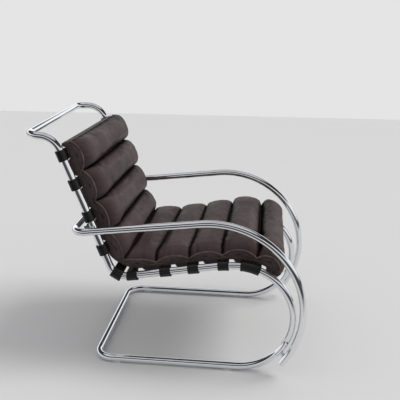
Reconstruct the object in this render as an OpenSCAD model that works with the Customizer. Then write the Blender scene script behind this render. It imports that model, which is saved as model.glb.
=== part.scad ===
// Cantilever lounge armchair: a bent tube frame, leather straps wrapped round its side tubes,
// and one long cushion of nine stuffed rolls. Millimetres, +Z up, the front faces -Y.
// Side outlines are drawn in a plane where the first axis runs forwards from the middle of the
// rear floor tube, the second runs up, and the third runs across towards the sitter's right.

/* [Tube] */
// Outside diameter of every frame tube
tube_d = 25.4; // [22:0.1:28]
// Wall of the tubes
tube_wall = 2; // [1.5:0.1:3]
// Width of the frame between the centres of its side tubes
frame_w = 574; // [480:1:640]

/* [Base] */
// Rear floor tube to the start of the front curve
base_l = 515; // [440:1:560]
// Radius of the front curve that carries the seat
front_r = 195; // [180:1:215]
// Radius of the two rear corners on the floor
base_corner_r = 60; // [45:1:80]
// Angle below level at which the seat tube meets the base tube
joint_angle = 43; // [38:1:48]

/* [Seat and back] */
// Rise of the seat rails above level
seat_pitch = 9.7; // [6:0.1:12]
// Rise that is left where the gentle bend under the thighs ends
crest_end = 2; // [1:0.1:4]
// Radius of the gentle bend under the thighs
crest_r = 580; // [450:5:700]
// Straight stretch between that bend and the front curve
crest_run = 8; // [4:1:20]
// Back corner to the gentle bend, measured where the two straight lines would meet
rail_l = 342; // [310:1:375]
// Lean of the uprights from vertical
back_lean = 20.4; // [16:0.1:24]
// Back corner to the bend of the handle
upright_l = 479; // [440:1:520]
// Radius of the corner between the seat rail and the upright
back_corner_r = 60; // [50:1:66]

/* [Handle] */
// Radius of the bend from the upright to the handle
handle_r = 75; // [60:1:90]
// Rise of the handle towards the rear
handle_rise = 3; // [0:0.5:8]
// Straight stretch at each side of the handle
handle_run = 3; // [2:1:30]
// Radius of the two handle corners
handle_corner_r = 42; // [35:1:60]

/* [Arms] */
// Clear gap between an arm tube and the side of the frame
arm_gap = 0.8; // [0.5:0.1:3]
// Height of each arm's cut end above the floor, at the tube's centre
arm_h = 53.7; // [48:0.1:60]
// Start of the front curve to each arm's cut end, at the tube's centre
arm_reach = 159.4; // [152:0.1:166]
// Radius of the arm curve
arm_r = 314; // [308:1:320]
// Rise of the arms towards the front
arm_pitch = 6.6; // [4:0.1:9]
// How far each arm runs on behind the upright that it passes
arm_back = 72; // [62:1:90]
// Radius of the two rear arm corners
arm_corner_r = 50; // [40:1:60]
// Angle below level at which the arm curve is cut off
arm_end_angle = 38; // [35:1:40]

/* [Joints] */
// Length of the sleeve inside each front joint
spigot_l = 170; // [150:1:190]
// Wall of that sleeve
spigot_wall = 3; // [2:0.1:4]
// Gap all round between the sleeve and the tube
spigot_fit = 0.1; // [0.05:0.01:0.3]
// Joint to the grub screw that pins the sleeve, along the tube
grub_offset = 62; // [50:1:70]
// Diameter of the grub screws
grub_d = 6; // [5:0.1:7]
// Length of the grub screws
grub_l = 8; // [6:0.1:9]
// Key size of the grub screws' sockets, across the flats
grub_key = 3; // [2:0.1:3.5]
// Depth of the sockets
socket_depth = 2.5; // [1.5:0.1:4]
// Diameter of the studs that hold the arms' front ends
stud_d = 6; // [5:0.1:7]
// Diameter of the bush round each stud
bush_d = 15; // [12:0.1:18]
// Arm's cut end to the stud, along the tube
stud_back = 24; // [16:1:40]
// Gap round a screw or stud in its hole
screw_gap = 0.15; // [0.1:0.01:0.3]
// Gap left where two rounded metal pieces are seated on each other
seat_gap = 0.2; // [0.1:0.01:0.4]
// Thickness of the plug's disc at each arm's cut end
plug_t = 2; // [1:0.1:4]
// Depth of the plug inside the tube
plug_depth = 14; // [8:1:20]
// Width across the chair of the bracket behind each upright
bracket_w = 26; // [22:0.5:30]
// Height of that bracket
bracket_h = 12; // [10:0.5:16]
// How far the bracket reaches behind the upright
bracket_back = 7; // [5:0.5:10]
// Diameter of the bracket screw's head
head_d = 9; // [8:0.1:11]
// Height of that head
head_h = 3.5; // [3:0.1:5]
// Diameter of the bracket screw
bolt_d = 5; // [4:0.1:6]

/* [Glides] */
// How far the glides hold the tube above the floor
glide_drop = 2; // [1.5:0.1:4]
// Length of a glide along the tube
glide_l = 26; // [20:1:36]
// Width of a glide
glide_w = 14; // [10:0.5:18]
// Height of a glide's sides
glide_h = 5; // [4:0.1:6]
// Diameter of the peg that holds the glide in the tube
peg_d = 5; // [4:0.1:6]
// Length of the peg above the bottom of the tube
peg_l = 6; // [5:0.1:8]
// Rear floor tube to the rear glides
glide_rear = 80; // [75:1:110]
// Start of the front curve to the front glides
glide_front = 30; // [20:1:80]

/* [Straps] */
// Width of a strap
strap_w = 38; // [30:1:44]
// Width of the last strap, under the front of the seat
front_strap_w = 68; // [50:1:72]
// Thickness of the strap leather
strap_t = 2.5; // [2:0.1:3.5]
// Gap between a strap and the tube that it goes round
strap_gap = 0.3; // [0.2:0.05:0.5]
// How far the loops of the back straps hang loose
back_slack = 3.5; // [1:0.5:6]
// How far the loops of the seat straps hang loose
seat_slack = 6.5; // [3:0.5:12]
// Length of the strap end that is doubled back under the strap
tail_l = 62; // [50:1:80]
// Tube's centre to the studs, across the chair
strap_stud_in = 48; // [42:1:56]
// Gap between the third strap of the back and the bracket under it
strap_clear = 3; // [1:0.5:8]
// Distance between the two studs of a strap end
strap_stud_pitch = 20; // [14:1:24]
// Diameter of the strap studs
strap_stud_d = 4; // [3:0.1:5]
// Diameter of the strap studs' heads
strap_head_d = 9; // [7:0.1:11]
// Height of those heads
strap_head_h = 1.4; // [1:0.1:2.5]

/* [Cushion] */
// Half the width of the cushion
cushion_half_w = 272; // [230:1:290]
// Thickness of the lower layer
pad_t = 28; // [24:0.5:32]
// Thickness of the whole cushion at the top of the back
top_loft = 74; // [64:0.5:78]
// Thickness of the whole cushion at the foot of the back
back_loft = 68; // [58:0.5:72]
// Thickness of the whole cushion at the rear of the seat
seat_loft = 56; // [50:0.5:64]
// Thickness of the whole cushion at the front of the seat
front_loft = 72; // [60:0.5:76]
// Distance from seam to seam, at half the cushion's thickness
roll_pitch = 113; // [100:1:120]
// Length of the topmost roll of the back
top_roll_l = 109; // [100:1:120]
// Length of the foremost roll of the seat
front_roll_l = 101; // [90:1:115]
// Back corner to the first seam of the back
corner_roll_l = 155; // [145:1:165]
// Back corner to the first seam of the seat
seat_corner_l = 160; // [150:1:170]
// Gap between the lower layer's ends and the planes that end the first and the last roll
pad_end_gap = 1; // [0.5:0.5:6]
// Radius at which the cushion rounds the back corner, measured at the tube's centre
cushion_corner_r = 112; // [90:1:125]
// Gap at a seam between two rolls
seam_gap = 1.2; // [0.6:0.1:3]
// Gap between soft pieces and what they rest on
soft_gap = 0.3; // [0.2:0.05:0.5]
// How far the sides of the lower layer are drawn in
draw_in = 7; // [3:0.5:12]
// Height of the tucked edge under each seam
tuck_h = 5; // [5:0.5:7]
// Length of the tucked edge
tuck_l = 9; // [9:0.5:12]

/* [Hidden] */

$fn = 64;
// Coarser circles for the long bent tubes
tube_fn = 32;
// Degrees in one radian
deg = 180 / PI;
// Overrun of every cut
over = 1;
// Lap of each straight stretch of tube over the bends beside it
lap = 0.5;
// A bend's wall is drawn this much inside the straight wall, so that the two join cleanly
bend_step = 0.02;
tube_r = tube_d / 2;
side_x = frame_w / 2;
arm_x = side_x + tube_d + arm_gap;

// A direction in the side outline
function dir(a) = [cos(a), sin(a)];
// The direction square to it, towards the cushion
function nor(a) = [-sin(a), cos(a)];
function cross2(p, q) = p[0] * q[1] - p[1] * q[0];

// The front curve, and the gentle bend that runs into it
floor_z = glide_drop + tube_r;
front_c = [base_l, floor_z + front_r];
front_start = front_c + front_r * nor(crest_end);
crest_stop = front_start - crest_run * dir(crest_end);
crest_c = crest_stop - crest_r * nor(crest_end);
crest_start = crest_c + crest_r * nor(seat_pitch);
// The back corner, where the lines of the rail and the upright would meet
corner = crest_start - rail_l * dir(seat_pitch);
up_angle = 90 + back_lean;
corner_turn = seat_pitch + 90 - back_lean;
corner_tan = back_corner_r * tan(corner_turn / 2);
upright_top = corner + upright_l * dir(up_angle);
// The handle
handle_angle = 180 - handle_rise;
handle_turn = handle_angle - up_angle;
handle_end = upright_top + handle_r * (nor(up_angle) - nor(handle_angle));
handle_bar = handle_end + (handle_run + handle_corner_r) * dir(handle_angle);
// The arms
arm_c = [base_l + arm_reach, arm_h] - arm_r * dir(-arm_end_angle);
arm_front = arm_c + arm_r * nor(arm_pitch);
// Where an arm passes an upright, seen from the side
arm_cross_up = cross2(arm_front - corner, dir(arm_pitch)) / cross2(dir(up_angle), dir(arm_pitch));
cross_on_up = corner + arm_cross_up * dir(up_angle);
arm_l = norm(arm_front - cross_on_up) + arm_back;
arm_rear = arm_front - arm_l * dir(arm_pitch);
// The origin lies under the middle of the whole chair
front_end = arm_c[0] + arm_r + tube_r;
rear_end = handle_bar[0] - tube_r;
mid_s = (front_end + rear_end) / 2;

// A path down the upright and forward along the seat, as stretches of
// [length, start, direction, radius], where a turn towards the cushion has a radius above zero.
// The tube and the cushion differ only in the radius of the back corner.
function way_round(r) = let (cut = r * tan(corner_turn / 2)) [
    [upright_l - cut, upright_top, up_angle - 180, 0],
    [r * corner_turn / deg, corner + cut * dir(up_angle), up_angle - 180, r],
    [rail_l - cut, corner + cut * dir(seat_pitch), seat_pitch, 0],
    [crest_r * (seat_pitch - crest_end) / deg, crest_start, seat_pitch, -crest_r],
    [crest_run, crest_stop, crest_end, 0],
    [front_r * (90 + crest_end + joint_angle) / deg, front_start, crest_end, -front_r]
];
tube_way = way_round(back_corner_r);
cushion_way = way_round(cushion_corner_r);
last_stretch = len(tube_way) - 1;
// Length of path w up to the start of stretch i
function start_of(w, i) = i == 0 ? 0 : start_of(w, i - 1) + w[i - 1][0];
function stretch_of(w, t, i = last_stretch) = i == 0 || t >= start_of(w, i) ? i : stretch_of(w, t, i - 1);
// Direction of the path at length t
function angle_in(k, u) = k[3] == 0 ? k[2] : k[2] + u / k[3] * deg;
function angle_at(w, t) = let (i = stretch_of(w, t)) angle_in(w[i], t - start_of(w, i));
function point_in(k, u, n) = let (a = angle_in(k, u))
    (k[3] == 0 ? k[1] + u * dir(a) : k[1] + k[3] * (nor(k[2]) - nor(a))) + n * nor(a);
// Point at length t along path w, and n above the tube's centre
function path_at(w, t, n) = let (i = stretch_of(w, t)) point_in(w[i], t - start_of(w, i), n);

// The bracket stands on the arm tube, and the third strap of the back a little above it
bracket_up = tube_r / cos(back_lean + arm_pitch) + bracket_h / 2;
strap_over_bracket = arm_cross_up + bracket_up + bracket_h / 2 + strap_clear + strap_w / 2;

// Places of the straps along the path
corner_mid = start_of(tube_way, 1) + tube_way[1][0] / 2;
seat_start = start_of(tube_way, 2) - corner_tan;
// Distance up the back from the corner. The shares are chosen by hand: the first strap's of the
// upright, the second's of the way from the third strap to the first, the fourth's of the third's.
back_strap_shares = [0.965, 0.53, 0.464];
top_strap_up = upright_l * back_strap_shares[0];
back_strap_up = [
    top_strap_up,
    strap_over_bracket + (top_strap_up - strap_over_bracket) * back_strap_shares[1],
    strap_over_bracket,
    strap_over_bracket * back_strap_shares[2]
];
// Distance along the seat from the corner, hand-chosen shares of the rail
seat_strap_shares = [0.185, 0.532, 0.82, 1.125];
// Centre of the wide front strap, as a share of the quarter turn of the front curve
front_strap_share = 0.16;
strap_at = concat(
    [for (up = back_strap_up) upright_l - up],
    [corner_mid],
    [for (k = seat_strap_shares) seat_start + rail_l * k],
    [start_of(tube_way, last_stretch) + front_strap_share * front_r * PI / 2]
);
back_strap_count = len(back_strap_up);
function slack_of(i) = i < back_strap_count ? back_slack : seat_slack;
function width_of(i) = i == len(strap_at) - 1 ? front_strap_w : strap_w;

// Heights above the tube's centre
strap_low = tube_r + strap_gap;
strap_top = strap_low + strap_t;
pad_low = strap_top + soft_gap;
pad_top = pad_low + pad_t;
roll_low = pad_top + soft_gap;
mid_n = pad_low + back_loft / 2;

// Turns the side outline's plane upright: forwards, up, and across to the sitter's right
module side_plane() {
    translate([0, mid_s, 0])
        rotate([90, 0, -90])
            children();
}

// Draws a piece at the sitter's right, and its mirror image at the left
module both_sides() {
    children();
    mirror([0, 0, 1]) children();
}

module ring(d, wall) {
    difference() {
        circle(d = d);
        circle(d = d - 2 * wall);
    }
}

// A straight tube along its own third axis, with what follows at its end. It laps a little over
// the bends on both sides, but not over the middle of the chair, where its mirror image starts.
module run(l, from_middle = false) {
    start = from_middle ? 0 : -lap;
    translate([0, 0, start])
        linear_extrude(l + lap - start) ring(tube_d, tube_wall);
    translate([0, 0, l]) children();
}

// A bent tube that turns towards its own first axis, with what follows at its end
module bend(r, a) {
    translate([r, 0, 0])
        rotate([90, 0, 180])
            rotate_extrude(angle = a)
                translate([r, 0]) ring(tube_d - 2 * bend_step, tube_wall - 2 * bend_step);
    translate([r * (1 - cos(a)), 0, r * sin(a)])
        rotate([0, a, 0])
            children();
}

module roll(a) {
    rotate([0, 0, a]) children();
}

// Stands children with their third axis along the line from p to q
module along(p, q) {
    v = q - p;
    translate(p)
        rotate([0, acos(v[2] / norm(v)), atan2(v[1], v[0])])
            children();
}

// Solid bars in place of the tubes, wide enough to cut a seat for them with a gap round it
module side_bar(p, a, l, gap) {
    translate([p[0], p[1], 0])
        rotate([0, 90, a])
            cylinder(r = tube_r + gap, h = l, center = true);
}

module curve_bar(c, r, a0, a1, gap) {
    translate([c[0], c[1], 0])
        rotate([0, 0, a0])
            rotate_extrude(angle = a1 - a0)
                translate([r, 0]) circle(r = tube_r + gap);
}

// The stud that ties each arm's front end to the seat tube
stud_angle = arm_end_angle - stud_back / arm_r * deg;
stud_on_arm = arm_c + arm_r * dir(-stud_angle);
stud_away = stud_on_arm - front_c;
stud_on_seat = front_c + front_r * stud_away / norm(stud_away);
stud_p = [stud_on_seat[0], stud_on_seat[1], side_x];
stud_q = [stud_on_arm[0], stud_on_arm[1], arm_x];
stud_span = norm(stud_q - stud_p);

module stud_hole(d) {
    along(stud_p, stud_q)
        cylinder(d = d, h = stud_span);
}

// The grub screw that pins each sleeve, driven in from the outer side of the seat tube
grub_angle = joint_angle - grub_offset / front_r * deg;
grub_at = front_c + front_r * dir(-grub_angle);

module grub_hole(d) {
    translate([grub_at[0], grub_at[1], side_x])
        cylinder(d = d, h = tube_d);
}

// The bracket screw, square to the upright and driven in from behind it
screw_on_up = corner + (arm_cross_up + bracket_up) * dir(up_angle);

module behind_upright() {
    translate([screw_on_up[0], screw_on_up[1], side_x])
        rotate([0, 90, back_lean + 180])
            children();
}

module base_frame() {
    $fn = tube_fn;
    color("silver")
    side_plane()
        difference() {
            both_sides()
                translate([0, floor_z, 0])
                    run(side_x - base_corner_r, true)
                        bend(base_corner_r, 90)
                            roll(90)
                                run(base_l - base_corner_r)
                                    bend(front_r, 90 - joint_angle);
            both_sides()
                for (s = [glide_rear, base_l - glide_front])
                    peg_place(s)
                        cylinder(d = peg_d + 2 * screw_gap, h = 2 * peg_l, center = true);
        }
}

module seat_frame() {
    $fn = tube_fn;
    color("silver")
    side_plane()
        difference() {
            both_sides()
                translate([handle_bar[0], handle_bar[1], 0])
                    roll(-handle_rise)
                        run(side_x - handle_corner_r, true)
                            bend(handle_corner_r, 90)
                                roll(-90)
                                    run(handle_run)
                                        bend(handle_r, handle_turn)
                                            roll(180)
                                                lower_half();
            both_sides() {
                stud_hole(stud_d + 2 * screw_gap);
                grub_hole(grub_d + 2 * screw_gap);
                behind_upright()
                    cylinder(d = bolt_d + 2 * screw_gap, h = tube_d);
            }
        }
}

// The upright, the back corner, the seat rail and the front curve
module lower_half() {
    run(upright_l - corner_tan)
        bend(back_corner_r, corner_turn)
            roll(180)
                run(rail_l - corner_tan)
                    bend(crest_r, seat_pitch - crest_end)
                        run(crest_run)
                            bend(front_r, 90 + crest_end + joint_angle);
}

module arm_hoop() {
    $fn = tube_fn;
    color("silver")
    side_plane()
        difference() {
            both_sides()
                translate([arm_rear[0], arm_rear[1], 0])
                    roll(arm_pitch)
                        run(arm_x - arm_corner_r, true)
                            bend(arm_corner_r, 90)
                                roll(-90)
                                    run(arm_l - arm_corner_r)
                                        bend(arm_r, 90 + arm_pitch + arm_end_angle);
            both_sides()
                stud_hole(stud_d + 2 * screw_gap);
        }
}

// A curved sleeve inside the front joint, half in the base tube and half in the seat tube
module joint_sleeve() {
    half = spigot_l / 2 / front_r * deg;
    bore_d = tube_d - 2 * tube_wall;
    difference() {
        translate([front_c[0], front_c[1], side_x])
            rotate([0, 0, -joint_angle - half])
                rotate_extrude(angle = 2 * half)
                    translate([front_r, 0]) ring(bore_d - 2 * spigot_fit, spigot_wall);
        stud_hole(stud_d + 2 * screw_gap);
        grub_hole(grub_d + 2 * screw_gap);
    }
}

module right_joint_sleeve() {
    color("gray")
    side_plane()
        joint_sleeve();
}

module left_joint_sleeve() {
    color("gray")
    side_plane()
        mirror([0, 0, 1]) joint_sleeve();
}

module joint_grub_screws() {
    color("black")
    side_plane()
        both_sides()
            translate([grub_at[0], grub_at[1], side_x + tube_r - grub_l - seat_gap])
                difference() {
                    cylinder(d = grub_d, h = grub_l);
                    translate([0, 0, grub_l - socket_depth])
                        cylinder(d = grub_key / cos(30), h = socket_depth + over, $fn = 6);
                }
}

// A short bush with both ends hollowed to sit on the two tubes
module arm_front_bushes() {
    color("silver")
    side_plane()
        both_sides()
            difference() {
                along(stud_p, stud_q)
                    cylinder(d = bush_d, h = stud_span);
                stud_hole(stud_d + 2 * screw_gap);
                translate([0, 0, side_x])
                    curve_bar(front_c, front_r, -90, 0, seat_gap);
                translate([0, 0, arm_x])
                    curve_bar(arm_c, arm_r, -90, 0, seat_gap);
            }
}

// Studs with a round nut plate inside the arm tube
module arm_front_studs() {
    nut_d = stud_d + tube_wall + tube_wall;
    color("gray")
    side_plane()
        both_sides()
            along(stud_p, stud_q) {
                cylinder(d = stud_d, h = stud_span);
                translate([0, 0, stud_span - nut_d / 2])
                    cylinder(d = nut_d, h = nut_d / 2);
            }
}

module arm_end_plugs() {
    color("silver")
    side_plane()
        both_sides()
            translate([arm_c[0], arm_c[1], arm_x])
                rotate([0, 0, -arm_end_angle])
                    translate([arm_r, 0, 0])
                        rotate([90, 0, 0]) {
                            cylinder(d = tube_d, h = plug_t);
                            mirror([0, 0, 1])
                                cylinder(d = tube_d - 2 * (tube_wall + spigot_fit) - spigot_fit, h = plug_depth / 2);
                        }
}

// A block that stands on the arm tube and holds the upright from behind
module arm_bracket() {
    difference() {
        translate([cross_on_up[0], cross_on_up[1], side_x])
            rotate([0, 0, back_lean])
                translate([-tube_r - bracket_back, 0, -bracket_w / 2 + tube_r])
                    cube([tube_r + bracket_back, bracket_up + bracket_h / 2, bracket_w]);
        translate([0, 0, side_x])
            side_bar(cross_on_up, up_angle, upright_l, seat_gap);
        translate([0, 0, arm_x])
            side_bar(cross_on_up, arm_pitch, arm_l, seat_gap);
        behind_upright()
            cylinder(d = bolt_d + 2 * screw_gap, h = tube_d + bracket_back);
    }
}

module right_arm_bracket() {
    color("silver")
    side_plane()
        arm_bracket();
}

module left_arm_bracket() {
    color("silver")
    side_plane()
        mirror([0, 0, 1]) arm_bracket();
}

module arm_bracket_screws() {
    shank = tube_r + bracket_back;
    color("black")
    side_plane()
        both_sides()
            behind_upright() {
                translate([0, 0, tube_r / 2])
                    cylinder(d = bolt_d, h = shank - tube_r / 2 + seat_gap);
                translate([0, 0, shank + seat_gap])
                    difference() {
                        cylinder(d = head_d, h = head_h);
                        translate([0, 0, head_h - socket_depth])
                            cylinder(d = grub_key / cos(30), h = socket_depth + over, $fn = 6);
                    }
            }
}

module peg_place(s) {
    translate([s, glide_drop, side_x])
        rotate([-90, 0, 0])
            children();
}

// A floor glide: a saddle with a flat sole, and a peg that snaps into the tube
module glide(s) {
    peg_place(s)
        cylinder(d = peg_d, h = peg_l);
    difference() {
        translate([s - glide_l / 2, 0, side_x - glide_w / 2])
            cube([glide_l, glide_h, glide_w]);
        translate([s, floor_z, side_x])
            rotate([0, 90, 0])
                cylinder(r = tube_r + spigot_fit, h = glide_l + 2 * over, center = true);
    }
}

module front_right_glide() {
    color("lightgray")
    side_plane()
        glide(base_l - glide_front);
}

module front_left_glide() {
    color("lightgray")
    side_plane()
        mirror([0, 0, 1]) glide(base_l - glide_front);
}

module rear_right_glide() {
    color("lightgray")
    side_plane()
        glide(glide_rear);
}

module rear_left_glide() {
    color("lightgray")
    side_plane()
        mirror([0, 0, 1]) glide(glide_rear);
}

// A long round-ended hole or disc, drawn from above the tube to below it
module slot_shape(r, slack) {
    circle(r = r);
    translate([-slack, 0]) circle(r = r);
    translate([-slack, -r]) square([slack, 2 * r]);
}

// A strap seen end on: a web across the chair, a loop round each side tube, and two doubled ends.
// The first axis is the height above the tube's centre, the second runs across.
module strap_outline(slack) {
    translate([strap_low, -side_x]) square([strap_t, 2 * side_x]);
    for (m = [0, 1])
        mirror([0, m]) {
            translate([0, side_x])
                difference() {
                    slot_shape(strap_top, slack);
                    slot_shape(strap_low, slack);
                }
            translate([strap_low - strap_t, side_x - tail_l])
                square([strap_t, tail_l - strap_low]);
        }
}

// Stands children at length t along the path, first axis up from the tube, second across
module on_path(t) {
    p = path_at(tube_way, t, 0);
    translate([p[0], p[1], 0])
        rotate([0, 0, angle_at(tube_way, t)])
            rotate([90, 0, 90])
                children();
}

module strap_body(t, w, slack) {
    i = stretch_of(tube_way, t);
    k = tube_way[i];
    u = t - start_of(tube_way, i);
    r = abs(k[3]);
    if (r == 0)
        on_path(t)
            linear_extrude(w, center = true) strap_outline(slack);
    else {
        c = k[1] + k[3] * nor(k[2]);
        a0 = k[3] > 0 ? angle_in(k, u - w / 2) - 90 : angle_in(k, u + w / 2) + 90;
        translate([c[0], c[1], 0])
            rotate([0, 0, a0])
                rotate_extrude(angle = w / r * deg)
                    translate([r, 0])
                        mirror([k[3] > 0 ? 1 : 0, 0]) strap_outline(slack);
    }
}

// Places of the studs of strap i, third axis up from the tube
module strap_stud_places(i) {
    for (u = [-1, 1], x = [-1, 1])
        on_path(strap_at[i] + u * strap_stud_pitch / 2)
            translate([0, x * (side_x - strap_stud_in), 0])
                rotate([0, 90, 0])
                    children();
}

module strap(i) {
    color("black")
    side_plane()
        difference() {
            strap_body(strap_at[i], width_of(i), slack_of(i));
            strap_stud_places(i)
                translate([0, 0, strap_low - strap_t - over])
                    cylinder(d = strap_stud_d + 2 * screw_gap, h = 2 * strap_t + 2 * over);
        }
}

module back_strap_1() { strap(0); }
module back_strap_2() { strap(1); }
module back_strap_3() { strap(2); }
module back_strap_4() { strap(3); }
module corner_strap() { strap(4); }
module seat_strap_1() { strap(5); }
module seat_strap_2() { strap(6); }
module seat_strap_3() { strap(7); }
module seat_strap_4() { strap(8); }
module seat_strap_5() { strap(9); }

// Headed studs that hold the doubled ends, flush with the top of the strap
module strap_studs(first, last) {
    color("dimgray")
    side_plane()
        for (i = [first : last])
            strap_stud_places(i)
                translate([0, 0, strap_low - strap_t]) {
                    cylinder(d = strap_stud_d, h = 2 * strap_t);
                    mirror([0, 0, 1])
                        translate([0, 0, soft_gap])
                            cylinder(d = strap_head_d, h = strap_head_h);
                    mirror([0, 0, 1])
                        cylinder(d = strap_stud_d, h = soft_gap);
                }
}

module back_strap_studs() { strap_studs(0, back_strap_count); }
module seat_strap_studs() { strap_studs(back_strap_count + 1, len(strap_at) - 1); }

// A closed skin through rings of points, with all rings alike in count and order
module skin(rings) {
    n = len(rings[0]);
    m = len(rings);
    polyhedron(
        points = [for (r = rings) each r],
        faces = concat(
            [for (j = [0 : m - 2], i = [0 : n - 1]) [j * n + i, (j + 1) * n + i, j * n + (i + 1) % n]],
            [for (j = [0 : m - 2], i = [0 : n - 1])
                [(j + 1) * n + i, (j + 1) * n + (i + 1) % n, j * n + (i + 1) % n]],
            [for (i = [1 : n - 2]) [0, i, i + 1]],
            [for (i = [1 : n - 2]) [(m - 1) * n, (m - 1) * n + i + 1, (m - 1) * n + i]]
        )
    );
}

// Seams are measured from the back corner, where the lines of the seat and the upright would
// meet, and along the seat at half the cushion's thickness. Each is turned into a path length.
cushion_tan = cushion_corner_r * tan(corner_turn / 2);
back_end = upright_l - (corner_roll_l + 2 * roll_pitch + top_roll_l);
corner_seam = start_of(cushion_way, 1) + cushion_way[1][0] / 2;
seat_zero = start_of(cushion_way, 2) - cushion_tan;
seat_mid_2 = rail_l + (crest_r + mid_n) * (seat_pitch - crest_end) / deg;
seat_mid_3 = seat_mid_2 + crest_run;
function seat_way(m) =
    m <= rail_l ? seat_zero + m
    : m <= seat_mid_2 ? start_of(cushion_way, 3) + (m - rail_l) * crest_r / (crest_r + mid_n)
    : m <= seat_mid_3 ? start_of(cushion_way, 4) + m - seat_mid_2
    : start_of(cushion_way, 5) + (m - seat_mid_3) * front_r / (front_r + mid_n);
seams = concat(
    [back_end],
    [for (k = [0 : 2]) back_end + top_roll_l + k * roll_pitch],
    [corner_seam],
    [for (k = [0 : 3]) seat_way(seat_corner_l + k * roll_pitch)],
    [seat_way(seat_corner_l + 3 * roll_pitch + front_roll_l)]
);

// Lower layer of the cushion: a bent slab whose sides are drawn in between its edges
pad_edge_steps = 4;
pad_first = seams[0] + pad_end_gap;
pad_last = seams[len(seams) - 1] - pad_end_gap;
function pad_point(t, share, side) = let (p = path_at(cushion_way, t, pad_low + share * pad_t))
    [p[0], p[1], side * (cushion_half_w - draw_in * pow(2 * abs(share - 0.5), 2) - soft_gap)];
function pad_ring(t) = concat(
    [for (j = [0 : pad_edge_steps]) pad_point(t, j / pad_edge_steps, 1)],
    [for (j = [pad_edge_steps : -1 : 0]) pad_point(t, j / pad_edge_steps, -1)]
);
// Lengths along the path with a ring at each: few on straight stretches, more on bends
function steps_in(count, from, to) = [for (k = [0 : count - 1]) from + (to - from) * k / count];
function steps_on(count, i) = steps_in(count, start_of(cushion_way, i), start_of(cushion_way, i + 1));
pad_stations = concat(
    steps_in(6, pad_first, start_of(cushion_way, 1)),
    steps_on(12, 1),
    steps_on(4, 2),
    steps_on(4, 3),
    steps_on(1, 4),
    steps_in(9, start_of(cushion_way, 5), pad_last),
    [pad_last]
);

module cushion_pad() {
    color([0.2, 0.16, 0.15])
    side_plane()
        skin([for (t = pad_stations) pad_ring(t)]);
}

// One stuffed roll between two seams, as rings across the chair. Across the chair the roll keeps
// its height and then rounds off. Its underside follows the lower layer.
arc_steps = 12;
floor_steps = 8;
side_steps = 9;
// Height left at the very end of a roll, as a share of its full height
end_share = 0.12;
// How late a roll rounds off towards its ends, and how square its section is, as exponents
end_square_share = 13;
section_share = 0.78;
// How much shorter along the path a roll is at its very ends, and how late that shows
end_pinch_share = 0.05;
pinch_late_share = 8;
function roll_height(v) = max(end_share, sqrt(1 - pow(abs(v), end_square_share)));
function roll_ring(from, to, loft, v) =
    let (low = from + seam_gap / 2,
         high = to - seam_gap / 2,
         h = (pad_low + loft - roll_low - tuck_h) * roll_height(v),
         pinch = 1 - end_pinch_share * pow(abs(v), pinch_late_share),
         place = function (share, n)
            let (p = path_at(cushion_way, (low + high) / 2 + (high - low) / 2 * share * pinch, n))
            [p[0], p[1], v * cushion_half_w],
         tuck = 1 - 2 * tuck_l / (to - from),
         arc = [for (i = [0 : arc_steps])
            let (a = 180 - 180 * i / arc_steps,
                 c = sign(cos(a)) * pow(abs(cos(a)), section_share),
                 k = pow(sin(a), section_share))
            place(c, roll_low + tuck_h + h * k)],
         floor_points = [for (i = [0 : floor_steps]) place(tuck * (1 - 2 * i / floor_steps), roll_low)])
    concat(arc, floor_points);

module cushion_roll(i, loft) {
    color([0.2, 0.16, 0.15])
    side_plane()
        skin([for (k = [-side_steps : side_steps])
            roll_ring(seams[i], seams[i + 1], loft, sin(90 * k / side_steps))]);
}

// Rise of each back roll from the loft at the foot to the loft at the top, as hand-chosen shares
back_rise_shares = [1, 1, 0.15, 0];
module back_roll(i) { cushion_roll(i - 1, back_loft + (top_loft - back_loft) * back_rise_shares[i - 1]); }
// Rise of each seat roll from the loft at the corner to the loft at the front, as hand-chosen shares
seat_rise_shares = [0, -0.28, -0.22, 0.48, 1];
module seat_roll(i) { cushion_roll(i + 3, seat_loft + (front_loft - seat_loft) * seat_rise_shares[i - 1]); }
module back_roll_1() { back_roll(1); }
module back_roll_2() { back_roll(2); }
module back_roll_3() { back_roll(3); }
module back_roll_4() { back_roll(4); }
module seat_roll_1() { seat_roll(1); }
module seat_roll_2() { seat_roll(2); }
module seat_roll_3() { seat_roll(3); }
module seat_roll_4() { seat_roll(4); }
module seat_roll_5() { seat_roll(5); }

base_frame();
seat_frame();
arm_hoop();
left_joint_sleeve();
right_joint_sleeve();
joint_grub_screws();
arm_front_bushes();
arm_front_studs();
arm_end_plugs();
left_arm_bracket();
right_arm_bracket();
arm_bracket_screws();
front_left_glide();
front_right_glide();
rear_left_glide();
rear_right_glide();
back_strap_1();
back_strap_2();
back_strap_3();
back_strap_4();
corner_strap();
seat_strap_1();
seat_strap_2();
seat_strap_3();
seat_strap_4();
seat_strap_5();
back_strap_studs();
seat_strap_studs();
cushion_pad();
back_roll_1();
back_roll_2();
back_roll_3();
back_roll_4();
seat_roll_1();
seat_roll_2();
seat_roll_3();
seat_roll_4();
seat_roll_5();
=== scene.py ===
import math

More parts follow.
